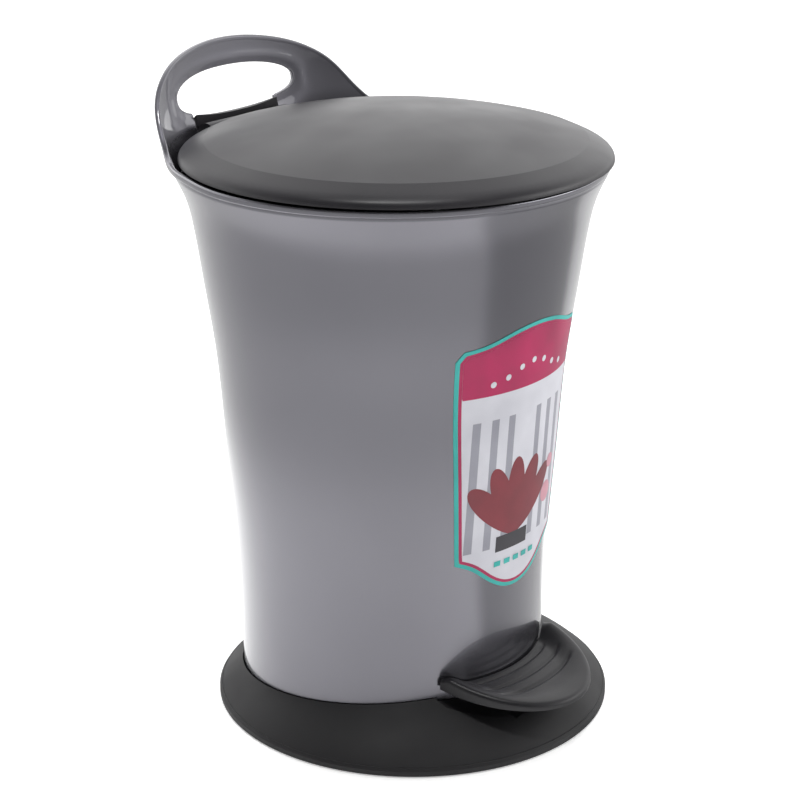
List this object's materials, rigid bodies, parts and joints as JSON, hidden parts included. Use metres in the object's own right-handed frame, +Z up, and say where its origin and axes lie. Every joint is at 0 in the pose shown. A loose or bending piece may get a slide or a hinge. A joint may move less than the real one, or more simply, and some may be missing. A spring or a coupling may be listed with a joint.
{
  "type": "pedal bin",
  "caption": "Small round pedal bin with a flared outer body, grip handle behind the domed lid, lift-out bucket and a pedal that opens the lid.",
  "frame": {"origin": "on the floor, on the axis of the round outer body", "axes": "+Z up; -Y to the front, where the pedal is; +X to the right seen from the front"},
  "size_m": [0.2292, 0.2516, 0.3505],
  "materials": {
    "body_plastic": "metallic-looking silver-grey moulding, glossy",
    "black_plastic": "fine matt black moulding",
    "lid_plastic": "fine matt charcoal moulding",
    "bucket_plastic": "plain black moulding",
    "label_film": "gloss-coated paper sticker",
    "steel": "bright zinc-plated",
    "rubber": "soft non-slip",
    "guide_plastic": "natural low-friction moulding"
  },
  "bodies": {
    "root": {"outer_body": "body_plastic", "base_plinth": "black_plastic", "foot_ring": "rubber", "base_screws": "steel", "front_label": "label_film", "inner_bucket": "bucket_plastic", "pedal_axle": "steel", "axle_clips": "steel", "rod_bush": "guide_plastic", "rod_guide": "guide_plastic", "hinge_pin": "steel", "hinge_clips": "steel"},
    "lid": {"lid_shell": "lid_plastic", "lid_bumpers": "rubber"},
    "pedal_arm": {"pedal": "black_plastic", "pedal_lever": "black_plastic", "pedal_screws": "steel"},
    "rod": {"push_rod": "steel", "rod_foot": "guide_plastic", "rod_tip": "guide_plastic"},
    "bail": {"bail_wire": "steel", "bail_grip": "guide_plastic"}
  },
  "joints": [
    {"name": "lid_hinge", "type": "hinge", "parent": "root", "child": "lid", "pos_m": [0, 0.104, 0.3035], "axis": [-1, 0, 0], "range_deg": [0, 55]},
    {"name": "pedal_hinge", "type": "hinge", "parent": "root", "child": "pedal_arm", "pos_m": [0, -0.04, 0.026], "axis": [1, 0, 0], "range_deg": [0, 8]},
    {"name": "rod_slide", "type": "slide", "parent": "root", "child": "rod", "axis": [0, 0.045, 0.999], "range_m": [0, 0.01633]},
    {"name": "bail_swing", "type": "hinge", "parent": "root", "child": "bail", "pos_m": [0, -0.009, 0.288], "axis": [-1, 0, 0], "range_deg": [0, 10]}
  ],
  "couplings": [
    {"joint": "pedal_hinge", "follows": "lid_hinge", "ratio": 0.14546},
    {"joint": "rod_slide", "follows": "lid_hinge", "m_per_rad": 0.017011}
  ]
}
